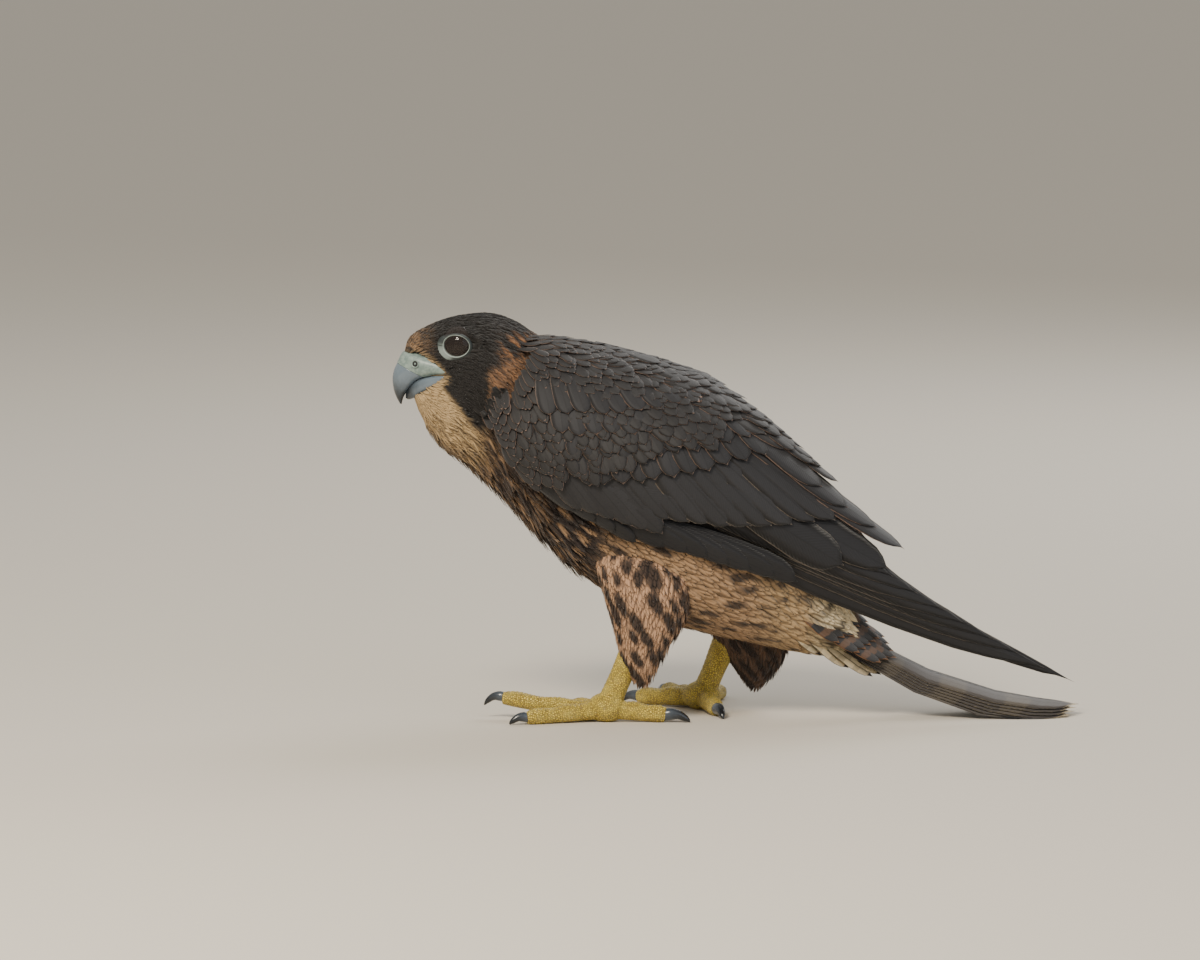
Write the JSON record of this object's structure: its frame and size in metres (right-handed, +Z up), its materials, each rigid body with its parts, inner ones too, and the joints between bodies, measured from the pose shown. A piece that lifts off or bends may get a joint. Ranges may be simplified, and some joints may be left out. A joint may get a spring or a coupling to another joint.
{
  "type": "peregrine falcon",
  "caption": "Life-size still model of a young peregrine falcon, standing with folded wings and its tail's end on the floor.",
  "frame": {"origin": "middle of the bottom of the whole bird's box, on the floor it stands on", "axes": "+X from head to tail, +Z up, the bird's left side faces -Y"},
  "size_m": [0.378, 0.153, 0.2222],
  "materials": {
    "plumage": "soft barred and streaked body feathers, dark slate-brown above and buff below",
    "wing_feather": "dark slate-brown flight feathers and coverts with thin rufous-buff fringes",
    "tail_feather": "grey-brown tail feathers with pale tips",
    "skin_bill": "smooth pale blue-grey waxy skin",
    "horn": "smooth blue-grey horn darkening to the tip",
    "eye": "wet and clear over near-black",
    "foot_scale": "yellow scaly skin",
    "claw": "smooth dark blue-grey horn"
  },
  "bodies": {
    "root": {"head": "plumage", "cere": "skin_bill", "bill_upper": "horn", "bill_lower": "horn", "eye_left": "eye", "eye_right": "eye", "neck": "plumage", "torso": "plumage", "wing_left": "wing_feather", "wing_right": "wing_feather", "tail": "tail_feather", "thigh_left": "plumage", "tarsus_left": "foot_scale", "toe_left_inner": "foot_scale", "claw_left_inner": "claw", "toe_left_middle": "foot_scale", "claw_left_middle": "claw", "toe_left_outer": "foot_scale", "claw_left_outer": "claw", "toe_left_hind": "foot_scale", "claw_left_hind": "claw", "thigh_right": "plumage", "tarsus_right": "foot_scale", "toe_right_inner": "foot_scale", "claw_right_inner": "claw", "toe_right_middle": "foot_scale", "claw_right_middle": "claw", "toe_right_outer": "foot_scale", "claw_right_outer": "claw", "toe_right_hind": "foot_scale", "claw_right_hind": "claw"}
  },
  "joints": []
}
